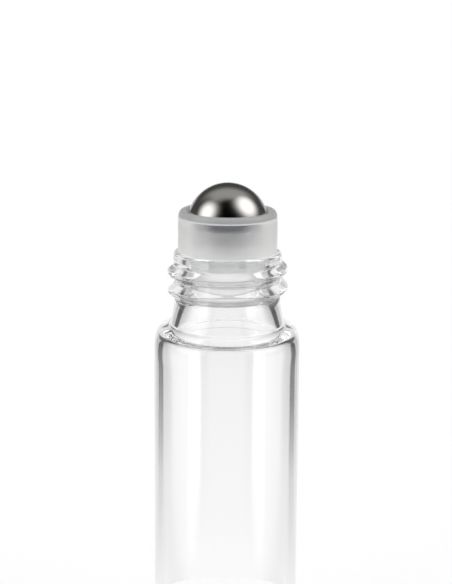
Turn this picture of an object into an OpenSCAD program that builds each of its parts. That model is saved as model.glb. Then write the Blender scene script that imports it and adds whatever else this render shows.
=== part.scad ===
// Roll on bottle: a thin glass bottle with a moulded screw neck, a plastic roller housing
// pressed into the neck, and a steel ball that turns in the housing.
// Millimetres, +Z up. The origin is the centre of the ring that the bottle stands on.
// The front of the bottle faces -Y, and its thread is right-handed.

/* [Glass body] */
// Outside diameter of the straight wall
body_d = 20; // [19.6:0.1:21.5]
// Height of the glass from the ring it stands on to its lip
bottle_h = 60; // [45:0.5:80]
// Thickness of the straight wall
wall = 1.15; // [0.9:0.05:1.4]
// Thickness of the floor
floor_t = 1.4; // [1:0.1:2.5]
// Height that the middle of the floor is pushed up
floor_rise = 0.6; // [0.2:0.1:1.2]
// Size of the outside round between the floor and the wall
heel = 1.9; // [1.2:0.1:2.2]
// Size of the inside round between the floor and the wall
inner_heel = 1.4; // [0.8:0.1:1.6]
// Width of the flat ring that the bottle stands on
ring_w = 1; // [0.7:0.1:2]

/* [Glass shoulder] */
// Height of the neck from the top of the shoulder to the lip
neck_h = 10.15; // [9.8:0.05:12]
// Height of the shoulder's round
shoulder_h = 3.3; // [2.5:0.1:5]
// Diameter at which the neck's flare reaches the shoulder
foot_d = 15.6; // [15.4:0.1:16.2]
// Size of the bend where the neck's foot meets the shoulder
foot_bend = 0.3; // [0.2:0.05:0.6]
// Depth of the ceiling inside the shoulder, below the shoulder's top
shoulder_t = 1.6; // [1.3:0.05:1.8]
// How far that ceiling falls on its way to the wall
ceiling_fall = 0.15; // [0.05:0.05:0.3]
// Bore where the neck opens into the body
mouth_d = 14.3; // [13.6:0.1:14.4]
// Size of the bend at that opening, up the neck's inside
mouth_flare = 1.8; // [1:0.1:2]
// Size of the bend at that opening, along the ceiling
mouth_bend = 0.5; // [0.2:0.05:0.6]
// Width of the round inside the shoulder
inner_round_w = 0.85; // [0.5:0.05:1]
// Height of the round inside the shoulder
inner_round_h = 3.5; // [2:0.1:3.8]

/* [Glass neck] */
// Outside diameter of the neck at its lip
neck_d = 14.75; // [14.55:0.05:15.2]
// Outside diameter at the waist, where the neck is narrowest
waist_d = 14.4; // [14:0.05:14.5]
// Depth of the waist below the lip
waist_drop = 7; // [6.8:0.1:7.4]
// Size of the bends at the waist
waist_bend = 0.9; // [0.4:0.1:1.2]
// Bore that takes the plug
bore_d = 10.4; // [10.1:0.1:10.8]
// Depth below the lip at which the bore begins to flare
bore_l = 5.6; // [5.4:0.1:5.8]
// Size of the bends where it begins to flare
bore_bend = 1; // [0.6:0.1:1.4]
// Round on the outside of the lip
lip_round = 0.5; // [0.3:0.05:0.6]
// Round on the inside of the lip
lip_inner_round = 0.4; // [0.2:0.05:0.6]

/* [Glass thread] */
// Diameter over the thread
thread_d = 16.5; // [15.8:0.1:17]
// Climb of the thread in one turn
thread_pitch = 2.5; // [2.45:0.05:2.7]
// Climb round the back half of a turn, where half the pitch would be an even thread
back_climb = 1.93; // [1.25:0.01:2]
// Width of the thread's ridge at its root
ridge_w = 2.4; // [1.6:0.05:2.4]
// Depth of the ridge's crest below the lip, on the right of the upper turn
thread_drop = 2.28; // [2.25:0.01:2.5]
// Turns over which the ridge has its full height
thread_turns = 1.42; // [1:0.01:1.6]

/* [Roller housing] */
// Outside diameter of the collar
collar_d = 13.5; // [13.4:0.05:13.7]
// Height of the collar above the glass lip
collar_h = 5.65; // [5.55:0.05:5.9]
// Width of the round on top of the collar
crown_w = 0.55; // [0.3:0.05:0.7]
// Height of the round on top of the collar
crown_h = 1.6; // [1:0.05:2.2]
// Width of the flat on top of the collar
crown_flat = 0.35; // [0.2:0.05:0.4]
// Height of the edge that holds the ball in, above the middle of the ball
hold_h = 1.55; // [1.3:0.05:1.6]
// Round at the foot of the collar
collar_foot = 0.15; // [0.05:0.05:0.4]
// Length of the plug below the glass lip
plug_l = 6.25; // [5.5:0.05:6.6]
// Thickness of the plug's skirt
skirt_t = 0.85; // [0.6:0.05:1.1]
// Number of sealing beads round the plug
beads = 3; // [1:1:4]
// Height of the sealing beads
bead_h = 0.16; // [0.05:0.01:0.25]
// Width of one sealing bead
bead_w = 0.8; // [0.4:0.05:1]
// Length of the taper that leads the plug into the neck
lead_l = 0.7; // [0.4:0.05:1]
// Width of that taper
lead_w = 0.3; // [0.1:0.05:0.4]
// Thickness of the web under the ball
web_t = 1; // [0.7:0.05:1.3]
// Diameter of the feed hole under the ball
feed_d = 4.6; // [3:0.1:5.2]
// Radius of the grooves that lead up the socket from the feed hole
groove_r = 0.3; // [0.2:0.05:0.35]

/* [Ball] */
// Diameter of the ball
ball_d = 11.11; // [11:0.01:11.3]
// Height of the ball's middle above the glass lip
ball_lift = 3.8; // [3.75:0.01:3.95]

/* [Fits] */
// Gap between the ball and its socket
ball_gap = 0.06; // [0.03:0.01:0.1]
// Gap between the plug's beads and the bore of the neck
plug_gap = 0.05; // [0.02:0.01:0.1]

/* [Hidden] */

$fn = 96;
// How far a cutting shape runs past the face that it cuts
overrun = 0.4;

// Radii and levels of the glass
body_r = body_d / 2;
inner_r = body_r - wall;
neck_r = neck_d / 2;
waist_r = waist_d / 2;
foot_r = foot_d / 2;
bore_r = bore_d / 2;
mouth_r = mouth_d / 2;
lip_z = bottle_h;
shoulder_z = lip_z - neck_h;
waist_z = lip_z - waist_drop;
bore_z = lip_z - bore_l;
ceiling_z = shoulder_z - shoulder_t;
// The shoulder's round ends where the bend at the neck's foot begins
shoulder_w = body_r - foot_r - foot_bend;
// The pushed-up middle of the floor ends inside the standing ring
rise_r = body_r - heel - ring_w;

// Thread: how far its path leans across the neck, and its radii
thread_r = thread_d / 2;
thread_z = lip_z - thread_drop;
thread_lean = (back_climb - thread_pitch / 2) / 2;
// The ridge starts a little below the glass's surface, on a core deeper in the neck's wall
root_depth_share = 0.1;
core_depth_share = 0.5;
ridge_root_r = waist_r - root_depth_share * (thread_r - waist_r);
ridge_core_r = waist_r - core_depth_share * (waist_r - bore_r);
// Angle at which the full ridge starts, and the angle over which it fades out at each end
thread_top = -10;
thread_fade = 80;
thread_bottom = thread_top - 360 * thread_turns;
thread_step = 8;
ridge_steps = 10;
// Sharpens the ridge's crest against a plain half wave
ridge_power = 1.3;

// Levels and radii of the housing and the ball
ball_r = ball_d / 2;
ball_z = lip_z + ball_lift;
socket_r = ball_r + ball_gap;
collar_r = collar_d / 2;
collar_z = lip_z + collar_h;
crown_in_r = collar_r - crown_w - crown_flat;
crown_bend = crown_flat / 2;
bead_r = bore_r - plug_gap;
skirt_r = bead_r - bead_h;
hollow_r = skirt_r - skirt_t;
plug_z = lip_z - plug_l;
feed_r = feed_d / 2;
web_z = ball_z - sqrt(pow(socket_r, 2) - pow(feed_r, 2)) - web_t;
hold_edge = [sqrt(pow(socket_r, 2) - pow(hold_h, 2)), ball_z + hold_h];
groove_angles = [0, 90];

// Points on a bend, on the pushed-up floor and on a bead
bend_steps = 8;
rise_steps = 8;
bead_steps = 6;

// A smooth bend that leaves the line at a, heads for the corner and joins the next line at b
function bend(a, corner, b) =
    [for (i = [0:bend_steps]) let (t = i / bend_steps)
        pow(1 - t, 2) * a + 2 * t * (1 - t) * corner + pow(t, 2) * b];

// The point that lies a distance d from a on the way to b
function toward(a, b, d) = a + d * (b - a) / norm(b - a);

// An outline from its corners, each given as [point, size of its bend before, and after]
function softened(path) =
    [for (i = [0:len(path) - 1])
        let (
            corner = path[i],
            last = path[(i + len(path) - 1) % len(path)][0],
            next = path[(i + 1) % len(path)][0])
        each corner[1] == 0
            ? [corner[0]]
            : bend(toward(corner[0], last, corner[1]), corner[0], toward(corner[0], next, corner[2]))];

// Corners that stay sharp
function sharp(points) = [for (p = points) [p, 0, 0]];

// The pushed-up middle of the floor, from the axis out to its standing ring, at level z
function pushed_up(z) =
    [for (i = [0:rise_steps]) let (t = i / rise_steps)
        [rise_r * t, z + floor_rise * (1 + cos(180 * t)) / 2]];

function reversed(points) = [for (i = [len(points) - 1:-1:0]) points[i]];

// Height of the ridge's crest at angle a, which is 0 at the right of the upper turn
function crest_z(a) = thread_z + thread_pitch * a / 360 + thread_lean * (1 - cos(a));

// Share of its full height that the ridge has at angle a
function height_share(a) =
    let (past = max(a - thread_top, thread_bottom - a, 0))
    (1 + cos(180 * min(past / thread_fade, 1))) / 2;

// One section through the ridge at angle a: two points inside the glass, then the crest
function ridge_section(a) =
    let (
        z = crest_z(a),
        h = (thread_r - ridge_root_r) * height_share(a),
        outline = concat(
            [[ridge_core_r, z - ridge_w / 2]],
            [for (i = [0:ridge_steps]) let (s = i / ridge_steps - 1 / 2)
                [ridge_root_r + h * pow(cos(180 * s), ridge_power), z + ridge_w * s]],
            [[ridge_core_r, z + ridge_w / 2]]))
    [for (p = outline) [p[0] * cos(a), p[0] * sin(a), p[1]]];

// The thread's ridge, swept up the neck as one closed solid
module thread_ridge() {
    angles = [for (a = [thread_bottom - thread_fade:thread_step:thread_top + thread_fade]) a];
    sections = [for (a = angles) ridge_section(a)];
    n = len(sections[0]);
    last = (len(sections) - 1) * n;
    sides = [
        for (i = [0:len(sections) - 2])
            for (j = [0:n - 1])
                let (
                    a = i * n + j,
                    b = i * n + (j + 1) % n,
                    c = b + n,
                    d = a + n)
                each [[a, b, c], [a, c, d]]];
    polyhedron(
        points = [for (s = sections) each s],
        faces = concat(
            [[for (j = [n - 1:-1:0]) j]],
            sides,
            [[for (j = [0:n - 1]) last + j]]),
        convexity = 6);
}

// The blown bottle: floor, heel, wall, shoulder, flared foot, waisted neck and lip
module glass_bottle() {
    outline = softened(concat(
        sharp(pushed_up(0)),
        [
            [[body_r, 0], heel, heel],
            [[body_r, shoulder_z], shoulder_h, shoulder_w],
            [[foot_r, shoulder_z], foot_bend, foot_bend],
            [[waist_r, waist_z], waist_bend, waist_bend],
            [[neck_r, lip_z], lip_round, lip_round],
            [[bore_r, lip_z], lip_inner_round, lip_inner_round],
            [[bore_r, bore_z], bore_bend, bore_bend],
            [[mouth_r, ceiling_z], mouth_flare, mouth_bend],
            [[inner_r, ceiling_z - ceiling_fall], inner_round_w, inner_round_h],
            [[inner_r, floor_t], inner_heel, inner_heel]
        ],
        sharp(reversed(pushed_up(floor_t)))));
    color([0.86, 0.92, 0.93, 0.4]) union() {
        rotate_extrude() polygon(outline);
        thread_ridge();
    }
}

// Points of one sealing bead, whose middle is at level z
function bead_points(z) =
    [for (i = [0:bead_steps]) let (s = i / bead_steps - 1 / 2)
        [skirt_r + bead_h * cos(180 * s), z + bead_w * s]];

// The beads share out the plug's straight length
bead_pitch = (plug_l - lead_l) / beads;
all_beads = [for (i = [0:beads - 1])
    each bead_points(plug_z + lead_l + bead_pitch * (i + 1 / 2))];

// Grooves up the lower half of the socket, which bring the liquid to the ball
module feed_grooves() {
    reach = socket_r + groove_r;
    intersection() {
        for (a = groove_angles)
            rotate([90, 0, a]) rotate_extrude() translate([socket_r, 0]) circle(r = groove_r);
        translate([-reach, -reach, -reach]) cube([2 * reach, 2 * reach, reach]);
    }
}

// The moulded housing: a collar that holds the ball, a web under it and a hollow plug
module roller_housing() {
    outline = softened(concat(
        sharp([
            [hollow_r, plug_z],
            [skirt_r - lead_w, plug_z],
            [skirt_r, plug_z + lead_l / 2]]),
        sharp(all_beads),
        sharp([[skirt_r, lip_z]]),
        [
            [[collar_r, lip_z], collar_foot, collar_foot],
            [[collar_r, collar_z], crown_h, crown_w],
            [[crown_in_r, collar_z], crown_bend, crown_bend]
        ],
        sharp([
            toward(hold_edge, [crown_in_r, collar_z], -overrun),
            [0, ball_z],
            [0, web_z],
            [hollow_r, web_z]])));
    color([0.9, 0.91, 0.93, 0.8]) difference() {
        rotate_extrude() polygon(outline);
        translate([0, 0, ball_z]) {
            sphere(r = socket_r);
            feed_grooves();
        }
        translate([0, 0, web_z - overrun]) cylinder(r = feed_r, h = web_t + 2 * overrun);
    }
}

// The ball, which the collar's edge snaps over
module roller_ball() {
    color([0.62, 0.61, 0.59]) translate([0, 0, ball_z]) sphere(r = ball_r);
}

glass_bottle();
roller_housing();
roller_ball();
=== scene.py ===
# %% [markdown]
# # A clear glass roll on bottle
# This notebook dresses a small roll on bottle for a product picture. The bottle has three real pieces:
# a blown glass with a screw neck, a translucent plastic housing that is pressed into the neck, and a
# steel ball that turns in the housing. All three are mostly about light. The glass shows only what it
# bends, the plastic glows, and the steel is a small mirror with a fine grain.

# %% Start: load the frame and keep its box
import math

import bpy
import numpy as np
from mathutils import Matrix, Vector


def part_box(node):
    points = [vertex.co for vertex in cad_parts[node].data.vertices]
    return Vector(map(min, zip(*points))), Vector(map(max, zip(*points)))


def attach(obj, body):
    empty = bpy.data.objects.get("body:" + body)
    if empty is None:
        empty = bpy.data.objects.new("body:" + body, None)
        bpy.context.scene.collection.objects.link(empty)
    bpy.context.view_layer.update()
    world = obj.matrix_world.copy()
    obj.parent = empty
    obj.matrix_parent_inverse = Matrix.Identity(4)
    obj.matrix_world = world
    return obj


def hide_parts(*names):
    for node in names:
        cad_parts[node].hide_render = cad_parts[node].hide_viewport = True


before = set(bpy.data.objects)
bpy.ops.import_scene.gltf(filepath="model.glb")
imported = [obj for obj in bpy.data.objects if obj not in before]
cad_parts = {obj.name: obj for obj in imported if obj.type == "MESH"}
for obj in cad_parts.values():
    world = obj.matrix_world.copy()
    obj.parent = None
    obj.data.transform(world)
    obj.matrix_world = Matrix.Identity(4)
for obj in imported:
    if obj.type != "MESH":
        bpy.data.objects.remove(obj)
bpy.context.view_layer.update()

MM = 0.001
print("Solids in the frame:", sorted(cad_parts))

# %% [markdown]
# ## Sizes
# The frame gives the outside sizes: how wide and tall the glass is, where the collar ends and where the
# ball sits. The thicknesses and bends inside the glass can't be read from a box, so they are written
# down here, from the floor up to the lip.

# %% Outside sizes, from the solids
def reach(node):
    """Radius, lowest and highest level of a round solid on the bottle's axis."""
    low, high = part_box(node)
    # The solid's round wall is cut into flats, so it reaches a hair less far on some sides than on others
    return min(-low[0], high[0], -low[1], high[1]), low[2], high[2]

BODY_R, BASE_Z, LIP_Z = reach("glass_bottle")
COLLAR_R, _, COLLAR_Z = reach("roller_housing")
_, ball_low, ball_top = reach("roller_ball")
BALL_R = (ball_top - ball_low) / 2
BALL_Z = ball_top - BALL_R
print(f"body {2 * BODY_R / MM:.1f} mm across, lip at {LIP_Z / MM:.1f} mm, ball {2 * BALL_R / MM:.2f} mm")

# %% Sizes of the glass
# Wall and floor, with the ring that the bottle stands on
WALL = 1.15 * MM
FLOOR_T = 1.4 * MM
FLOOR_RISE = 0.6 * MM
HEEL = 1.9 * MM
INNER_HEEL = 1.4 * MM
RING_W = 1.0 * MM
# Shoulder, outside and inside
SHOULDER_Z = LIP_Z - 10.15 * MM
SHOULDER_H = 3.3 * MM
FOOT_R = 15.6 * MM / 2
FOOT_BEND = 0.3 * MM
CEILING_Z = SHOULDER_Z - 1.6 * MM
CEILING_FALL = 0.15 * MM
MOUTH_R = 14.3 * MM / 2
MOUTH_FLARE = 1.8 * MM
MOUTH_BEND = 0.5 * MM
INNER_ROUND_W = 0.85 * MM
INNER_ROUND_H = 3.5 * MM
# Neck and lip, outside and inside
NECK_R = 14.75 * MM / 2
WAIST_R = 14.4 * MM / 2
WAIST_Z = LIP_Z - 7.0 * MM
WAIST_BEND = 0.9 * MM
BORE_Z = LIP_Z - 5.6 * MM
BORE_BEND = 1.0 * MM
BORE_R = 10.4 * MM / 2
LIP_ROUND = 0.5 * MM
LIP_INNER_ROUND = 0.4 * MM
print(f"neck {(LIP_Z - SHOULDER_Z) / MM:.2f} mm tall, bore {2 * BORE_R / MM:.1f} mm, wall {WALL / MM:.2f} mm")

# %% Sizes of the screw thread
THREAD_R = 16.5 * MM / 2
PITCH = 2.5 * MM
THREAD_Z = LIP_Z - 2.28 * MM
# The thread climbs faster round the back than round the front, so its path leans a little
LEAN = 0.34 * MM
RIDGE_W = 2.4 * MM
# The ridge starts a little below the face of the neck. The power sharpens it against a plain half wave
ROOT_DEPTH_SHARE = 0.1
RIDGE_ROOT_R = WAIST_R - ROOT_DEPTH_SHARE * (THREAD_R - WAIST_R)
RIDGE_POWER = 1.3
# Angles, in degrees, at which the full ridge starts and ends, and over which it fades out
THREAD_TURNS = 1.42
THREAD_TOP = -10
THREAD_BOTTOM = THREAD_TOP - 360 * THREAD_TURNS
THREAD_FADE = 80
# How softly the ridge flows into the neck
RIDGE_FILLET = 0.16 * MM
print(f"thread: {2 * THREAD_R / MM:.1f} mm across, {THREAD_TURNS} full turns, {PITCH / MM:.1f} mm a turn")

# %% [markdown]
# ## The camera
# The photograph is 452 pixels wide and 584 high. Blender measures a lens against the long side of the
# picture, 36 mm of film by default, so a focal length in pixels turns into millimetres through that side.
# The angle and the distance were fitted: the ellipse of the collar gives the angle, and how fast
# the ellipses open from the ball down to the shoulder gives the distance. The view looks 13 degrees down
# from 22 centimetres, with a hair of roll, and the picture's lower edge cuts the body off.

# %% Place the camera
FRAME_H = 584
FOCAL_PX = 1595
FILM = 36
LOOK_DOWN = math.radians(13)
DISTANCE = 218 * MM
AIM = Vector((-0.185 * MM, 0, 54.25 * MM))
ROLL = math.radians(0.4)
# Nearest and furthest thing that the camera sees, in metres
NEAR, FAR = 0.01, 20

def place_camera():
    """A camera at the photograph's angle."""
    data = bpy.data.cameras.new("camera")
    data.lens = FOCAL_PX / FRAME_H * FILM
    data.sensor_width = FILM
    data.clip_start = NEAR
    data.clip_end = FAR
    camera = bpy.data.objects.new("camera", data)
    bpy.context.scene.collection.objects.link(camera)
    back = Vector((0, -math.cos(LOOK_DOWN), math.sin(LOOK_DOWN)))
    turn = back.to_track_quat("Z", "Y").to_matrix().to_4x4()
    camera.matrix_world = Matrix.Translation(AIM + back * DISTANCE) @ turn @ Matrix.Rotation(ROLL, 4, "Z")
    bpy.context.scene.camera = camera
    return camera

camera = place_camera()
bpy.context.scene.view_settings.view_transform = "Standard"
print(f"lens {camera.data.lens:.1f} mm, {DISTANCE / MM:.0f} mm away")

# %% [markdown]
# ## Helpers for meshes and materials
# Blender can build a mesh with modifiers, with bmesh or from plain lists of points. Plain lists suit a
# bottle, because each point follows from a sum. Materials are trees of nodes, and two small helpers keep
# their code short: one adds a node with its values, one draws the links.

# %% Helpers
def mesh_piece(name, points, faces, material, smooth=True):
    """A new mesh object in the scene, from points and from faces of three or four corners."""
    mesh = bpy.data.meshes.new(name)
    mesh.from_pydata(np.asarray(points, float), [], faces)
    mesh.polygons.foreach_set("use_smooth", [smooth] * len(mesh.polygons))
    mesh.materials.append(material)
    mesh.update()
    piece = bpy.data.objects.new(name, mesh)
    bpy.context.scene.collection.objects.link(piece)
    return piece

def new_material(name):
    """An empty node material, its tree and its output."""
    material = bpy.data.materials.new(name)
    material.use_nodes = True
    tree = material.node_tree
    tree.nodes.clear()
    return material, tree, tree.nodes.new("ShaderNodeOutputMaterial")

def add(tree, kind, values=None, **settings):
    """A node with its settings, and with values on its input sockets."""
    node = tree.nodes.new(kind)
    for key, value in settings.items():
        setattr(node, key, value)
    for socket, value in (values or {}).items():
        node.inputs[socket].default_value = value
    return node

def join(tree, *pairs):
    """Links each (from socket, to socket) pair."""
    for source, target in pairs:
        tree.links.new(source, target)

print("helpers: mesh_piece, new_material, add and join")

# %% [markdown]
# ## The outline of the glass
# Such a bottle starts as a drop of hot glass. A mould shapes the neck and the screw thread, air blows the
# body against a second mould, and the floor is pushed up a little so that the bottle stands on a ring.
# Nothing on it is sharp: hot glass rounds every corner, and clear glass shows each of those rounds as a
# dark or a light line. A lathe shape with a bevel modifier gives all corners the same round, so here the
# outline is listed corner by corner instead. Each corner has its own length of bend before it and after it,
# and the
# bend is a quadratic curve that heads for the corner.

# %% Bends of an outline
BEND_STEPS = 12

def bend(a, corner, b):
    """Points on a smooth bend from a to b that heads for the corner."""
    shares = np.linspace(0, 1, BEND_STEPS + 1)
    return [(1 - t) ** 2 * a + 2 * t * (1 - t) * corner + t ** 2 * b for t in shares]

def toward(a, b, d):
    """The point that lies a distance d from a on the way to b."""
    return a + d * (b - a) / np.linalg.norm(b - a)

def softened(path):
    """An open outline from corners, each given as (r, z, size of its bend before, and after)."""
    spots = [np.array(corner[:2]) for corner in path]
    points = [spots[0]]
    for i in range(1, len(path) - 1):
        before, after = path[i][2:]
        if before == 0:
            points.append(spots[i])
        else:
            start = toward(spots[i], spots[i - 1], before)
            end = toward(spots[i], spots[i + 1], after)
            points += bend(start, spots[i], end)
    return points + [spots[-1]]

print("points on a bend:", BEND_STEPS + 1)

# %% Rise of the floor, and shorter pieces
FLOOR_POINTS = 10
# Smaller than any real difference, so that rounding doesn't count as one
TINY = 1e-6

def pushed_up(level):
    """The pushed-up middle of the floor, from the axis to the ring that the bottle stands on."""
    rise_r = BODY_R - HEEL - RING_W
    return [(rise_r * t, level + FLOOR_RISE * (1 + math.cos(math.pi * t)) / 2, 0, 0)
            for t in np.linspace(0, 1, FLOOR_POINTS)]

def finer(points, step):
    """The same outline, cut so that no piece is longer than step."""
    out = [points[0]]
    for a, b in zip(points, points[1:]):
        n = max(1, math.ceil(np.linalg.norm(b - a) / step - TINY))
        out += [a + (b - a) * i / n for i in range(1, n + 1)]
    return out

print("points on the floor's rise:", FLOOR_POINTS)

# %% Outline of the glass, from the floor up the outside, over the lip and down the inside
shoulder_w = BODY_R - FOOT_R - FOOT_BEND
lip_middle = ((NECK_R + BORE_R) / 2, LIP_Z, 0, 0)
outer_path = pushed_up(BASE_Z) + [
    (BODY_R, BASE_Z, HEEL, HEEL),
    (BODY_R, SHOULDER_Z, SHOULDER_H, shoulder_w),
    (FOOT_R, SHOULDER_Z, FOOT_BEND, FOOT_BEND),
    (WAIST_R, WAIST_Z, WAIST_BEND, WAIST_BEND),
    (NECK_R, LIP_Z, LIP_ROUND, LIP_ROUND),
    lip_middle]
inner_path = [
    lip_middle,
    (BORE_R, LIP_Z, LIP_INNER_ROUND, LIP_INNER_ROUND),
    (BORE_R, BORE_Z, BORE_BEND, BORE_BEND),
    (MOUTH_R, CEILING_Z, MOUTH_FLARE, MOUTH_BEND),
    (BODY_R - WALL, CEILING_Z - CEILING_FALL, INNER_ROUND_W, INNER_ROUND_H),
    (BODY_R - WALL, BASE_Z + FLOOR_T, INNER_HEEL, INNER_HEEL)] + pushed_up(BASE_Z + FLOOR_T)[::-1]
print("corners:", len(outer_path), "outside,", len(inner_path), "inside")

# %% [markdown]
# ## The screw thread
# A glass thread is a soft ridge, not a machined one. The mould opens in two halves, so the ridge swells
# out of the neck, runs round it once and a half and sinks back. It could be a swept curve joined to the
# neck by a boolean, which leaves an ugly seam just where the light plays. Here the ridge is a sum instead:
# every point of the neck moves outwards by the height of the ridge at its level and angle. Neck and
# ridge stay one skin, and a soft maximum lays a fillet of glass in the groove where the two meet.

# %% The thread as a bump on the neck
# One angle round the neck meets the thread again on each turn, so it is tried on all of these
TURNS_TRIED = range(-3, 2)

def crest_z(a):
    """Height of the ridge's crest at angle a in degrees."""
    return THREAD_Z + PITCH * a / 360 + LEAN * (1 - np.cos(np.radians(a)))

def soft_max(a, b, width):
    """The larger of a and b, with a fillet of that width where they cross."""
    h = np.maximum(width - np.abs(a - b), 0) / width
    return np.maximum(a, b) + h * h * width / 4

def with_thread(radius, z, angle):
    """Radius of the neck at each level and angle, with the ridge on it."""
    grown = radius
    inside = RIDGE_ROOT_R - RIDGE_FILLET
    for turn in TURNS_TRIED:
        a = angle + 360 * turn
        past = np.clip(np.maximum(a - THREAD_TOP, THREAD_BOTTOM - a) / THREAD_FADE, 0, 1)
        height = (THREAD_R - RIDGE_ROOT_R) * (1 + np.cos(np.pi * past)) / 2
        across = np.clip((z - crest_z(a)) / RIDGE_W, -0.5, 0.5)
        ridge = RIDGE_ROOT_R + height * np.maximum(np.cos(np.pi * across), 0) ** RIDGE_POWER
        ridge = np.where((past < 1) & (np.abs(across) < 0.5), ridge, inside)
        grown = soft_max(grown, ridge, RIDGE_FILLET)
    return grown

# The front half of a turn runs from -180 to 0 degrees, and the back half below it from -360 to -180
for side, a in (("front", 0), ("back", -180)):
    print(f"climb round the {side}: {(crest_z(a) - crest_z(a - 180)) / MM:.2f} mm")

# %% [markdown]
# ## One skin round the glass
# The outline now turns round the axis in 240 steps. It runs up the outside, over the lip and down the
# inside, so the glass is one closed skin with a true thickness. That matters for clear glass: light bends
# at both faces, and a single sheet would look like a soap bubble. Rows of points lie close together on
# the neck, where the thread needs them, and further apart on the plain body.

# %% Turn the outline round the axis
TURN_STEPS = 240

def revolved(outline, threaded):
    """Rows of points round the axis; threaded tells which rows carry the thread."""
    angles = np.arange(TURN_STEPS) * 360 / TURN_STEPS
    across, deep = np.cos(np.radians(angles)), np.sin(np.radians(angles))
    rows = []
    for (r, z), thread in zip(outline, threaded):
        radius = np.full(TURN_STEPS, r)
        if thread:
            radius = with_thread(radius, z, angles)
        rows.append(np.stack([radius * across, radius * deep, np.full(TURN_STEPS, z)], axis=1))
    return rows

print("a step round the axis:", 360 / TURN_STEPS, "degrees")

# %% Mesh of the glass
THREAD_STEP = 0.08 * MM
PLAIN_STEP = 1.2 * MM

def glass_mesh():
    """Points and faces: one point on the axis at each end, and the rows of points between them."""
    neck_foot = SHOULDER_Z + FOOT_BEND
    outer = softened(outer_path)
    first = next(i for i, p in enumerate(outer) if p[1] > neck_foot)
    outer = finer(outer[:first], PLAIN_STEP)[:-1] + finer(outer[first - 1:], THREAD_STEP)
    outline = outer + finer(softened(inner_path), PLAIN_STEP)[1:]
    threaded = [i < len(outer) and p[1] > neck_foot for i, p in enumerate(outline)]
    rows = revolved(outline[1:-1], threaded[1:-1])
    points = [(0, 0, outline[0][1])] + [p for row in rows for p in row] + [(0, 0, outline[-1][1])]
    n = TURN_STEPS
    last_row = 1 + (len(rows) - 1) * n
    faces = []
    for j in range(n):
        k = (j + 1) % n
        faces.append((0, 1 + k, 1 + j))
        faces.append((len(points) - 1, last_row + j, last_row + k))
    for a in range(1, last_row, n):
        for j in range(n):
            k = (j + 1) % n
            faces.append((a + j, a + k, a + n + k, a + n + j))
    return points, faces

glass_points, glass_faces = glass_mesh()
print("glass:", len(glass_points), "points,", len(glass_faces), "faces")

# %% [markdown]
# ## Sums between nodes
# The materials below choose their look by place: higher up, nearer the ball, seen at a slant. Each choice
# is a small sum. A painted mask would need a picture file and a flat map of the surface, while sums need
# neither and stay sharp at any distance. These helpers write one sum, one ramp or one mix in a line each.

# %% Sums and mixes
def calc(tree, operation, a, b=None, c=None):
    """A sum of up to three values or outputs."""
    node = add(tree, "ShaderNodeMath", operation=operation)
    for socket, value in zip(node.inputs, (a, b, c)):
        if isinstance(value, (int, float)):
            socket.default_value = value
        elif value is not None:
            join(tree, (value, socket))
    return node.outputs[0]

def ramp(tree, value, low, high, start=0.0, end=1.0):
    """A value that runs from start to end while the input runs from low to high."""
    node = add(tree, "ShaderNodeMapRange", {
        "From Min": low, "From Max": high, "To Min": start, "To Max": end})
    join(tree, (value, node.inputs["Value"]))
    return node.outputs[0]

def blend(tree, share, a, b):
    """The value a where the share is 0 and b where it is 1."""
    rest = calc(tree, "SUBTRACT", 1, share)
    return calc(tree, "ADD", calc(tree, "MULTIPLY", a, rest), calc(tree, "MULTIPLY", share, b))

def mix(tree, share, first, second):
    """The first shader where the share is 0 and the second where it is 1."""
    node = add(tree, "ShaderNodeMixShader")
    join(tree, (share, node.inputs[0]), (first, node.inputs[1]), (second, node.inputs[2]))
    return node.outputs[0]

print("helpers: calc, ramp, blend and mix")

# %% [markdown]
# ## Let light through
# A path tracer follows each ray for a few steps only. In a thread, light bounces inside the glass many
# times, and a ray that runs out of steps comes back black, so the ridges fill with soot. After four
# mirror bounces the glass therefore lets the ray out as if it weren't there. Glass also stops the soft
# light from the sky, because a shadow ray can't bend. For shadows, and for light that a matte surface
# sends out, the glass is a plain window with a faint tint. The eye still sees the full glass.

# %% Let light out of the glass, and through it
REFLECTIONS = 4
STEPS = 12
WHITE = (1, 1, 1)

def see_through(tree, shader, tint):
    """The shader as the eye sees it, but a plain tinted window for shadows and for light that a matte
    surface sends out, and a plain way out for a ray that has used up its reflections."""
    path = add(tree, "ShaderNodeLightPath")

    def reached(output, count):
        return calc(tree, "GREATER_THAN", path.outputs[output], count - 0.5)

    def window(color):
        return add(tree, "ShaderNodeBsdfTransparent", {"Color": (*color, 1)}).outputs[0]

    spent = calc(tree, "MAXIMUM", reached("Glossy Depth", REFLECTIONS), reached("Ray Depth", STEPS))
    fallen = calc(tree, "MAXIMUM", reached("Diffuse Depth", 1), path.outputs["Is Shadow Ray"])
    return mix(tree, fallen, mix(tree, spent, shader, window(WHITE)), window(tint))

print("light gets out after", REFLECTIONS, "reflections or", STEPS, "steps")

# %% [markdown]
# ## Grain
# No real surface is perfect. Glass from a mould waves a little, moulded plastic keeps the sparks' marks of
# its mould, and a tumbled ball has fine scuffs. All three are one recipe in different sizes: a noise turns
# the light as if the surface rose and fell by a few thousandths of a millimetre, and makes its shine come
# and go. Real dents of that size would need millions of faces. The noise is laid out in the piece's own
# space, so it turns with the ball.

# %% Grain of a surface
# Nearly all of the noise lies between these two values
NOISE_LOW, NOISE_HIGH = 0.3, 0.7

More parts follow.
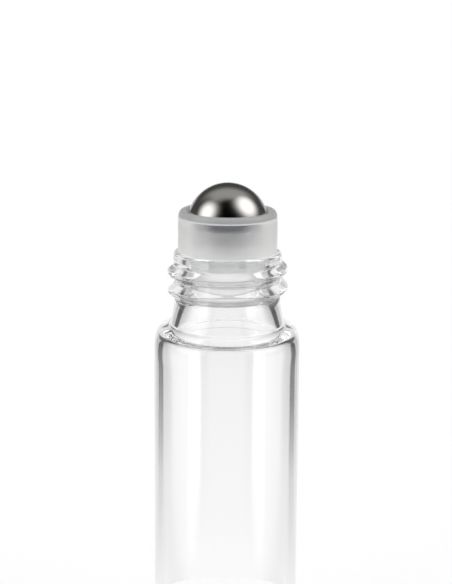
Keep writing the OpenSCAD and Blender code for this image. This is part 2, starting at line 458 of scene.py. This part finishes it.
def grain(tree, shaders, size, depth, roughness, detail=2.0):
    """Fine bumps of the given size and depth, with a roughness that runs between two values."""
    place = add(tree, "ShaderNodeTexCoord")
    noise = add(tree, "ShaderNodeTexNoise", {"Scale": 1 / size, "Detail": detail})
    bump = add(tree, "ShaderNodeBump", {"Strength": 1.0, "Distance": depth})
    shine = ramp(tree, noise.outputs[0], NOISE_LOW, NOISE_HIGH, *roughness)
    join(tree, (place.outputs["Object"], noise.inputs["Vector"]), (noise.outputs[0], bump.inputs["Height"]))
    for shader in shaders:
        join(tree, (bump.outputs[0], shader.inputs["Normal"]), (shine, shader.inputs["Roughness"]))

print("the roughness follows the noise from", NOISE_LOW, "to", NOISE_HIGH)

# %% [markdown]
# ## The glass
# Clear glass of such small bottles is almost without colour. The Principled shader with full transmission
# and the index 1.5 does the work, and the waves keep the long lines down the body from looking ruled.
# The dressed piece stands in for the plain solid glass_bottle and rides on the bottle's body.

# %% Material of the glass
GLASS_INDEX = 1.5
GLASS_TINT = (0.92, 0.93, 0.93)
GLASS_WAVE = 3.5 * MM
GLASS_WAVE_DEPTH = 0.004 * MM
GLASS_ROUGHNESS = (0.0, 0.012)

def clear_glass():
    """Colourless glass with a faint wave in its faces."""
    material, tree, out = new_material("clear_glass")
    shader = add(tree, "ShaderNodeBsdfPrincipled", {
        "Base Color": (*WHITE, 1), "IOR": GLASS_INDEX, "Transmission Weight": 1.0})
    grain(tree, [shader], GLASS_WAVE, GLASS_WAVE_DEPTH, GLASS_ROUGHNESS, detail=0.0)
    join(tree, (see_through(tree, shader.outputs[0], GLASS_TINT), out.inputs[0]))
    return material

glass = clear_glass()
bottle = mesh_piece("bottle_glass", glass_points, glass_faces, glass)
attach(bottle, "bottle")
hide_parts("glass_bottle")
print("bottle:", bottle.name, "in", glass.name)

# %% [markdown]
# ## The roller housing
# The housing is a moulding of natural polyethylene, which has no pigment. It is cloudy like thin milk: a
# thick part glows white, and a thin part lets a dark thing behind it show as a blurred shadow. In the
# photograph the ball's widest part draws a dark band under the edge of the crown. Subsurface scattering
# alone is too even for that, and glass alone too clear. So three shaders share the moulding. A milky one
# scatters, a frosted one shows what lies behind, and a clear one serves the faces inside, which the eye
# meets only through the others.
# Over the lip the frosted one has a dark blue-grey colour, so the dark band is painted shade of the ball.

# %% Places on the housing
BALL_GAP = 0.06 * MM
SOCKET_R = BALL_R + BALL_GAP
# Crown: the rounded edge over the collar, darkened by painted shade, with a painted light line where it
# starts
CROWN_Z = COLLAR_Z - 1.0 * MM
CROWN_LINE = 0.2 * MM
CROWN_EDGE = 0.06 * MM
RIM_Z = COLLAR_Z - 0.35 * MM
# Painted shade of the ball: a dark band where the ball comes nearest to the wall
BAND_Z = BALL_Z - 0.3 * MM
BAND_EDGE = 0.6 * MM
# Lip of the glass, and the underside of the web that holds the feed hole under the ball
LIP_EDGE = 0.3 * MM
WEB_Z = BALL_Z - 6.12 * MM
WEB_EDGE = 0.5 * MM
# Faces further out than these radii are outside faces, above and below the lip
OUTSIDE_R = 5.9 * MM
PLUG_OUTSIDE_R = 4.565 * MM
print(f"collar {2 * COLLAR_R / MM:.1f} mm across, {(COLLAR_Z - BALL_Z) / MM:.1f} mm above the ball's middle")

# %% [markdown]
# ## How clear the plastic is, and where shade is painted on it
# The share of the frosted shader follows from the place on the moulding. It grows where the wall in front
# of the ball gets thin, which is a sum with the socket's sphere, and it falls off like light in fog, with
# the exponential of the thickness. Towards the sides the light crosses the wall at a slant and meets more
# plastic, so the frosted share gives way to the milky one there, as in any cloudy glass. Soft steps up the
# height then set the plug, the skirt, the dark band, the light line and the crown apart. Those shares were
# tuned by grey level against the photograph.
# Over the lip the frosted colour is dark blue-grey, so there the share is painted shade: it darkens the band
# in front of the ball and the crown, and it fades towards the sides.

# %% Share of the frosted plastic
CLEAR_DEPTH = 0.9 * MM
CLEAR_GAIN = 1.5
# Over the lip these shares of the dark frosted colour paint shade on the band and the crown. The line gets
# none, so it is a painted light line
PAINTED_SHADE_BAND = 0.88
PAINTED_LIGHT_LINE = 0.0
PAINTED_SHADE_CROWN = 0.48
CLEAR_SKIRT = 0.4
CLEAR_PLUG = 0.9
# How far the face turns away from the eye while the frosted share sinks to nothing
SLANT = (0.03, 0.34)
EVEN_SLANT = 0.5

def frosted_and_painted_shade_share(tree, z):
    """How much of the wall is frosted and not milky. Over the lip the frosted colour is dark, so there this
    share paints shade.
    """
    def stepped(low, high, below, above):
        """One value below a level and another above it, with a soft step from low to high."""
        return blend(tree, ramp(tree, z, low, high), below, above)

    height = calc(tree, "SUBTRACT", z, BALL_Z)
    inside = calc(tree, "MULTIPLY_ADD", height, calc(tree, "MULTIPLY", height, -1), SOCKET_R ** 2)
    socket = calc(tree, "SQRT", calc(tree, "MAXIMUM", inside, 0))
    depth = calc(tree, "SUBTRACT", COLLAR_R, socket)
    fog = calc(tree, "EXPONENT", calc(tree, "MULTIPLY", depth, -1 / CLEAR_DEPTH))
    share = stepped(BAND_Z, BAND_Z + BAND_EDGE, calc(tree, "MULTIPLY", fog, CLEAR_GAIN), PAINTED_SHADE_BAND)
    slant = add(tree, "ShaderNodeLayerWeight", {"Blend": EVEN_SLANT})
    share = calc(tree, "MULTIPLY", share, ramp(tree, slant.outputs["Facing"], *SLANT, 1.0, 0.0))
    line_top = CROWN_Z + CROWN_LINE
    share = stepped(CROWN_Z, CROWN_Z + CROWN_EDGE, share, PAINTED_LIGHT_LINE)
    share = stepped(line_top, line_top + CROWN_EDGE, share, PAINTED_SHADE_CROWN)
    share = stepped(LIP_Z - LIP_EDGE, LIP_Z, CLEAR_SKIRT, share)
    return stepped(WEB_Z - WEB_EDGE, WEB_Z, CLEAR_PLUG, share)

print("frosted share: band", PAINTED_SHADE_BAND, "crown", PAINTED_SHADE_CROWN, "skirt", CLEAR_SKIRT, "plug", CLEAR_PLUG)

# %% Colours and finish of the plastic
# Each shader has one colour on the plug and one on the wall over the lip. The wall's are darker, painted
# shade, and the milky plug's is lighter, painted light
MILKY_PLUG_PAINTED_LIGHT = (0.93, 0.925, 0.92)
MILKY_WALL_PAINTED_SHADE = (0.63, 0.623, 0.616)
FROSTED_PLUG_COLOR = (0.97, 0.97, 0.965)
FROSTED_WALL_PAINTED_SHADE = (0.24, 0.27, 0.36)
INSIDE_COLOR = (0.99, 0.99, 0.99)
INSIDE_ROUGHNESS = 0.06
PLASTIC_TINT = (0.9, 0.9, 0.9)
PLASTIC_INDEX = 1.5
MILKY_GLOSS = 0.35
FROSTED_GLOSS = 0.2
# How far light travels inside, and how much of it keeps its way. Blue light turns off a little sooner
SCATTER = 8 * MM
SCATTER_RGB = (1.02, 1, 0.98)
SCATTER_FORWARD = 0.8
# The spark-eroded finish of the mould
SATIN_SIZE = 0.12 * MM
SATIN_DEPTH = 0.004 * MM
SATIN_ROUGHNESS = (0.3, 0.4)
print(f"light travels about {SCATTER / MM:.0f} mm in the plastic")

# %% Material of the housing
def natural_plastic():
    """Cloudy plastic: milky and frosted outside, clear inside, mixed by place, with painted shade over the
    lip and painted light on the plug.
    """
    material, tree, out = new_material("natural_plastic")
    milky = add(tree, "ShaderNodeBsdfPrincipled", {
        "Specular IOR Level": MILKY_GLOSS, "IOR": PLASTIC_INDEX, "Subsurface Weight": 1.0,
        "Subsurface Radius": SCATTER_RGB, "Subsurface Scale": SCATTER,
        "Subsurface Anisotropy": SCATTER_FORWARD})
    frosted = add(tree, "ShaderNodeBsdfPrincipled", {
        "Specular IOR Level": FROSTED_GLOSS, "IOR": PLASTIC_INDEX, "Transmission Weight": 1.0})
    clear = add(tree, "ShaderNodeBsdfPrincipled", {
        "Base Color": (*INSIDE_COLOR, 1), "Roughness": INSIDE_ROUGHNESS,
        "IOR": PLASTIC_INDEX, "Transmission Weight": 1.0})
    grain(tree, [milky, frosted], SATIN_SIZE, SATIN_DEPTH, SATIN_ROUGHNESS)
    place = add(tree, "ShaderNodeTexCoord")
    axes = add(tree, "ShaderNodeSeparateXYZ")
    join(tree, (place.outputs["Object"], axes.inputs[0]))
    x, y, z = axes.outputs
    # The wall over the lip gets the darker colours, which are painted shade, and the plug behind the glass
    # gets the lighter ones, which are painted light
    painted_shade_over_lip = ramp(tree, z, LIP_Z - LIP_EDGE, LIP_Z)
    for shader, plug_color, wall_color in (
            (frosted, FROSTED_PLUG_COLOR, FROSTED_WALL_PAINTED_SHADE), (milky, MILKY_PLUG_PAINTED_LIGHT, MILKY_WALL_PAINTED_SHADE)):
        tint = add(tree, "ShaderNodeMixRGB", {1: (*plug_color, 1), 2: (*wall_color, 1)})
        join(tree, (painted_shade_over_lip, tint.inputs[0]), (tint.outputs[0], shader.inputs["Base Color"]))
    radius = calc(tree, "SQRT", calc(tree, "MULTIPLY_ADD", x, x, calc(tree, "MULTIPLY", y, y)))
    edge = ramp(tree, z, LIP_Z - LIP_EDGE, LIP_Z, PLUG_OUTSIDE_R, OUTSIDE_R)
    far_out = calc(tree, "GREATER_THAN", radius, edge)
    outside = calc(tree, "MAXIMUM", far_out, calc(tree, "GREATER_THAN", z, RIM_Z))
    frosted_light = see_through(tree, frosted.outputs[0], PLASTIC_TINT)
    clear_light = see_through(tree, clear.outputs[0], PLASTIC_TINT)
    wall = mix(tree, frosted_and_painted_shade_share(tree, z), milky.outputs[0], frosted_light)
    join(tree, (mix(tree, outside, clear_light, wall), out.inputs[0]))
    return material

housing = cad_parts["roller_housing"]
housing.data.materials[0] = natural_plastic()
print("housing:", len(housing.data.polygons), "faces of its own,", housing.data.materials[0].name)

# %% [markdown]
# ## The ball
# The ball has the size of a 7/16 inch bearing ball. It is stainless steel, tumbled to a satin, and a mirror
# for the whole studio: two soft round lamps, a dim sheet overhead and the dark room around the camera. A
# mirror finish would draw those with hard edges and a dull one would smear them, so the roughness lies
# between the two and the scuffs make it come and go. The solid from the frame is round enough to be kept.

# %% Material of the ball
STEEL_COLOR = (0.56, 0.545, 0.52)
TUMBLED_SIZE = 0.15 * MM
TUMBLED_DEPTH = 0.0012 * MM
TUMBLED_ROUGHNESS = (0.12, 0.2)

def satin_steel():
    """Steel with fine scuffs."""
    material, tree, out = new_material("satin_steel")
    shader = add(tree, "ShaderNodeBsdfPrincipled", {"Base Color": (*STEEL_COLOR, 1), "Metallic": 1.0})
    grain(tree, [shader], TUMBLED_SIZE, TUMBLED_DEPTH, TUMBLED_ROUGHNESS, detail=4.0)
    join(tree, (shader.outputs[0], out.inputs[0]))
    return material

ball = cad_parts["roller_ball"]
ball.data.materials[0] = satin_steel()
print("ball:", len(ball.data.polygons), "faces of its own,", ball.data.materials[0].name)

# %% [markdown]
# ## A white world
# The photograph is on plain white. The world is white at strength 1 for the eye, for mirrors and for
# lenses. Light that only falls on things comes from a dimmer sky, so that the milky plastic and the floor
# don't burn out. The Light Path node tells the two apart.

# %% World
AMBIENT = 0.68

def seen_ray(tree):
    """1 for rays that the eye, a mirror or a lens sends out, and 0 for light that only falls on things."""
    path = add(tree, "ShaderNodeLightPath")
    seen = calc(tree, "MAXIMUM", path.outputs["Is Camera Ray"], path.outputs["Is Glossy Ray"])
    return calc(tree, "MAXIMUM", seen, path.outputs["Is Transmission Ray"])

def white_world():
    """A sky that is white for the eye and dimmer for falling light."""
    world = bpy.data.worlds.new("world")
    bpy.context.scene.world = world
    world.use_nodes = True
    tree = world.node_tree
    tree.nodes.clear()
    out = tree.nodes.new("ShaderNodeOutputWorld")
    sky = add(tree, "ShaderNodeBackground", {"Color": (*WHITE, 1)})
    strength = ramp(tree, seen_ray(tree), 0.0, 1.0, AMBIENT, 1.0)
    join(tree, (strength, sky.inputs["Strength"]), (sky.outputs[0], out.inputs[0]))

white_world()
print("sky:", AMBIENT, "for falling light, 1.0 for the eye")

# %% [markdown]
# ## The floor
# A bottle needs something to stand on. The floor is half white paper, which takes the shadow, and half a
# glow of its own, which lifts the rest to the white of the background, so that no horizon shows.

# %% Floor
FLOOR_SIZE = 8
FLOOR_WHITE = 0.97
FLOOR_GLOW = 0.5

def white_floor():
    """A wide floor that is white from above and open from below."""
    material, tree, out = new_material("floor")
    paper = add(tree, "ShaderNodeBsdfDiffuse", {"Color": (FLOOR_WHITE, FLOOR_WHITE, FLOOR_WHITE, 1)})
    glow = add(tree, "ShaderNodeEmission", {"Color": (*WHITE, 1), "Strength": 1.0})
    share = calc(tree, "MULTIPLY", seen_ray(tree), FLOOR_GLOW)
    white = mix(tree, share, paper.outputs[0], glow.outputs[0])
    # From below, the floor isn't there, so that the bottle's foot can be looked at
    face = add(tree, "ShaderNodeNewGeometry")
    gone = add(tree, "ShaderNodeBsdfTransparent")
    join(tree, (mix(tree, face.outputs["Backfacing"], white, gone.outputs[0]), out.inputs[0]))
    s = FLOOR_SIZE
    corners = [(-s, -s, BASE_Z), (s, -s, BASE_Z), (s, s, BASE_Z), (-s, s, BASE_Z)]
    return mesh_piece("floor", corners, [(0, 1, 2, 3)], material, smooth=False)

floor = white_floor()
print("floor:", 2 * FLOOR_SIZE, "m wide")

# %% [markdown]
# ## The tent
# Glass and steel have no look of their own: they show the studio. A bottle like this is often hung in a
# tent of white sheets with dark gaps beside the backdrop, and those gaps draw the dark lines down the
# sides of the glass. Separate planes with lamps would do too, but every edge would need its own soft
# border. Here the tent is one dome round the bottle, and each of its points carries a level of light. A
# short list of panels gives it, each laid over the ones before. Their places and levels were worked out
# backwards, by asking which light would draw the lines and the reflections that the photograph shows. The
# camera itself doesn't see the tent, and matte things get no light straight from it. It stands still,
# whichever way the bottle is looked at.

# %% Size of the tent
TENT_R = 170 * MM
TENT_TOP = 270 * MM
TENT_FOOT = 0.4 * MM
TENT_EYE = 55 * MM
# Angles in degrees: lowest and highest ring of points, and the step between points
TABLE_EDGE = -62
ZENITH = 90
TENT_STEP = 2
# Level where no panel hangs, and the level for light that reaches a matte face through glass
ROOM = 0.08
EVEN_LIGHT = 0.9
print(f"tent: {2 * TENT_R / MM:.0f} mm across, {TENT_TOP / MM:.0f} mm high")

# %% Panels of the tent
ALL_ROUND = (-200, 200)
# Each panel: name, (from azimuth, to azimuth), softness of its sides and of its top and bottom, then its
# level at some elevations from low to high. Azimuth 0 is behind the bottle and 180 at the camera
PANELS = [
    ("table", ALL_ROUND, (6, 4), [(-62, 0.9), (-31, 0.75), (-17, 0.5), (-11, 0.6), (10, 0.4)]),
    ("table by the camera", (143, 217), (10, 4), [(-62, 0.9), (-23, 0.6), (-14, 0.1), (8, 0.0)]),
    ("room behind the camera", (142, 218), (14, 4), [(8, 0.0), (90, 0.0)]),
    ("dark gap at the left", (-52, -33), (3, 4), [(-62, 0.9), (-33, 0.65), (-19, 0.2), (12, 0.05)]),
    ("dark gap at the right", (33, 54), (3, 4), [(-62, 0.9), (-33, 0.65), (-21, 0.2), (12, 0.05)]),
    ("sides of the backdrop", (-34, 34), (4, 6), [(-62, 0.85), (-33, 0.82), (-18, 0.68), (14, 0.6)]),
    ("middle of the backdrop", (-18, 18), (12, 6), [(-62, 0.97), (14, 0.9)]),
    ("left wall", (-139, -80), (14, 10), [(-62, 0.8), (-23, 1.1), (4, 1.2)]),
    ("right wall", (78, 136), (14, 6), [(-62, 0.8), (-20, 1.1), (6, 1.0)]),
    ("left strip light", (-139, -119), (6, 12), [(-48, 1.0), (-30, 2.6), (2, 2.6)]),
    ("right strip light", (119, 139), (6, 12), [(-48, 1.0), (-30, 2.6), (2, 2.6)]),
]
# The camera's side is dark for mirrors only. Seen through glass from behind the bottle it is light again
THROUGH = [
    ("gaps beside the camera", (128, 232), (4, 6), [(-62, 0.9), (-33, 0.65), (-20, 0.3), (12, 0.2)]),
    ("camera's side", (146, 214), (6, 6), [(-62, 0.9), (-20, 0.8), (90, 0.8)]),
]
print("panels:", ", ".join(name for name, *_ in PANELS + THROUGH))

# %% Sheet and lamps of the tent
# The sheet, seen from above: its sides, its front and back and their softness, as shares of the sky's
# radius, and then its level. Its heights are the lowest and highest elevation and their softness, and the
# highest lies past the zenith, so only the lower edge shows. The lamps' heights are meant the same way
SHEET = ((-0.58, 0.58), (-0.15, 0.56), 0.4, 0.47)
SHEET_HEIGHTS = (30, 120, 20)
# Each lamp: name, (azimuth, elevation) of its middle, angle at which it has faded to a third, and level
SOFT_LAMPS = [("left lamp", (-109, 31), 24, 2.1), ("right lamp", (100, 45), 25.5, 2.3)]
LAMP_HEIGHTS = (0, 120, 12)
LAMP_POWER = 3
# A panel that ends at the table's edge or at the zenith runs on by this angle, so that its end stays full
RUN_ON = 10
print("lamps:", ", ".join(name for name, *_ in SOFT_LAMPS))

# %% Light at each point of the tent
def between(x, low, high, soft):
    """1 between low and high, 0 outside, with soft edges."""
    rise = np.clip((x - low) / soft + 0.5, 0, 1)
    fall = np.clip((high - x) / soft + 0.5, 0, 1)
    return rise * rise * (3 - 2 * rise) * fall * fall * (3 - 2 * fall)

def direction(azimuth, elevation):
    """How far a direction points to the right, to the back and up."""
    a, e = np.radians(azimuth), np.radians(elevation)
    return np.cos(e) * np.sin(a), np.cos(e) * np.cos(a), np.sin(e)

def tent_level(azimuth, elevation, panels):
    """Level of light in each direction: the room, with the panels, the sheet and the lamps over it."""
    level = np.full(azimuth.shape, ROOM)
    for _, (left, right), (side_soft, end_soft), steps in panels:
        heights, levels = zip(*steps)
        turned = [between(azimuth + turn, left, right, side_soft) for turn in (-360, 0, 360)]
        low = heights[0] - (RUN_ON if heights[0] <= TABLE_EDGE else 0)
        high = heights[-1] + (RUN_ON if heights[-1] >= ZENITH else 0)
        share = sum(turned).clip(0, 1) * between(elevation, low, high, end_soft)
        level = level * (1 - share) + share * np.interp(elevation, heights, levels)
    right, back, up = direction(azimuth, elevation)
    sides, ends, soft, sheet_level = SHEET
    share = between(right, *sides, soft) * between(back, *ends, soft) * between(elevation, *SHEET_HEIGHTS)
    level = level * (1 - share) + share * sheet_level
    for _, middle, width, lamp_level in SOFT_LAMPS:
        x, y, z = direction(*middle)
        away = np.degrees(np.arccos(np.clip(right * x + back * y + up * z, -1, 1)))
        glow = lamp_level * np.exp(-(away / width) ** LAMP_POWER)
        level = np.maximum(level, glow * between(elevation, *LAMP_HEIGHTS))
    return level

for place, azimuth in (("behind the bottle", 0), ("to its right", 90), ("at the camera", 180)):
    print(f"level {place}: {tent_level(np.array([azimuth]), np.array([0]), PANELS)[0]:.2f}")

# %% Shape of the tent
# The tangent grows without end towards the zenith, so it is taken no further than this
STEEPEST = 89

def tent_shape():
    """Points and faces of the dome, and the azimuth and elevation of each point."""
    ring = np.arange(-180, 180, TENT_STEP)
    heights = np.arange(TABLE_EDGE, ZENITH + TENT_STEP / 2, TENT_STEP)
    azimuth, elevation = [grid.ravel() for grid in np.meshgrid(ring, heights)]
    tan = np.tan(np.radians(np.clip(elevation, -STEEPEST, STEEPEST)))
    z = np.clip(TENT_EYE + TENT_R * tan, TENT_FOOT, TENT_TOP)
    flat = np.abs(tan) < TINY
    radius = np.where(flat, TENT_R, np.minimum(TENT_R, (z - TENT_EYE) / np.where(flat, 1, tan)))
    turn = np.radians(azimuth)
    points = np.stack([radius * np.sin(turn), radius * np.cos(turn), z], axis=1)
    n = len(ring)
    faces = [(i * n + j, i * n + (j + 1) % n, (i + 1) * n + (j + 1) % n, (i + 1) * n + j)
             for i in range(len(heights) - 1) for j in range(n)]
    return points, faces, azimuth, elevation

tent_points, tent_faces, azimuths, elevations = tent_shape()
print("dome:", len(tent_points), "points,", len(tent_faces), "faces")

# %% Hang the tent
def tent_cloth():
    """Glows with the level of each point, and with an even level for light that a matte face gathers."""
    material, tree, out = new_material("tent")
    level = add(tree, "ShaderNodeAttribute", attribute_name="level")
    through = add(tree, "ShaderNodeAttribute", attribute_name="through")
    path = add(tree, "ShaderNodeLightPath")
    strength = blend(tree, path.outputs["Is Transmission Ray"], level.outputs["Fac"], through.outputs["Fac"])
    glow = add(tree, "ShaderNodeEmission", {"Color": (*WHITE, 1)})
    even = add(tree, "ShaderNodeEmission", {"Color": (*WHITE, 1), "Strength": EVEN_LIGHT})
    fallen = calc(tree, "GREATER_THAN", path.outputs["Diffuse Depth"], 0.5)
    join(tree, (strength, glow.inputs["Strength"]),
         (mix(tree, fallen, glow.outputs[0], even.outputs[0]), out.inputs[0]))
    return material

screen = mesh_piece("tent", tent_points, tent_faces, tent_cloth())
for name, panels in (("level", PANELS), ("through", PANELS + THROUGH)):
    attribute = screen.data.attributes.new(name, "FLOAT", "POINT")
    attribute.data.foreach_set("value", tent_level(azimuths, elevations, panels))
screen.visible_camera = False
screen.visible_diffuse = False
screen.visible_shadow = False
screen.visible_volume_scatter = False
print("tent:", len(PANELS), "panels for mirrors,", len(PANELS + THROUGH), "for lenses")

# %% [markdown]
# ## Two lamps for the matte parts
# The tent shows in glass and steel only, so the milky plastic and the floor need lamps of their own. Two
# broad suns from the sides of the soft lamps in the tent do it. They stay out of mirrors and lenses.

# %% Lamps
# Each sun: name, azimuth and elevation of its place, and strength
SUNS = [("left_lamp", -115, 40, 0.8), ("right_lamp", 105, 42, 0.9)]
SUN_SPREAD = math.radians(50)

def sun(name, azimuth, elevation, strength):
    """One broad sun that lights matte things only."""
    data = bpy.data.lights.new(name, "SUN")
    data.energy = strength
    data.angle = SUN_SPREAD
    light = bpy.data.objects.new(name, data)
    bpy.context.scene.collection.objects.link(light)
    place = Vector(direction(azimuth, elevation))
    light.rotation_mode = "QUATERNION"
    light.rotation_quaternion = (-place).to_track_quat("-Z", "Y")
    light.visible_glossy = False
    light.visible_transmission = False

for row in SUNS:
    sun(*row)
print("suns:", ", ".join(name for name, *_ in SUNS))
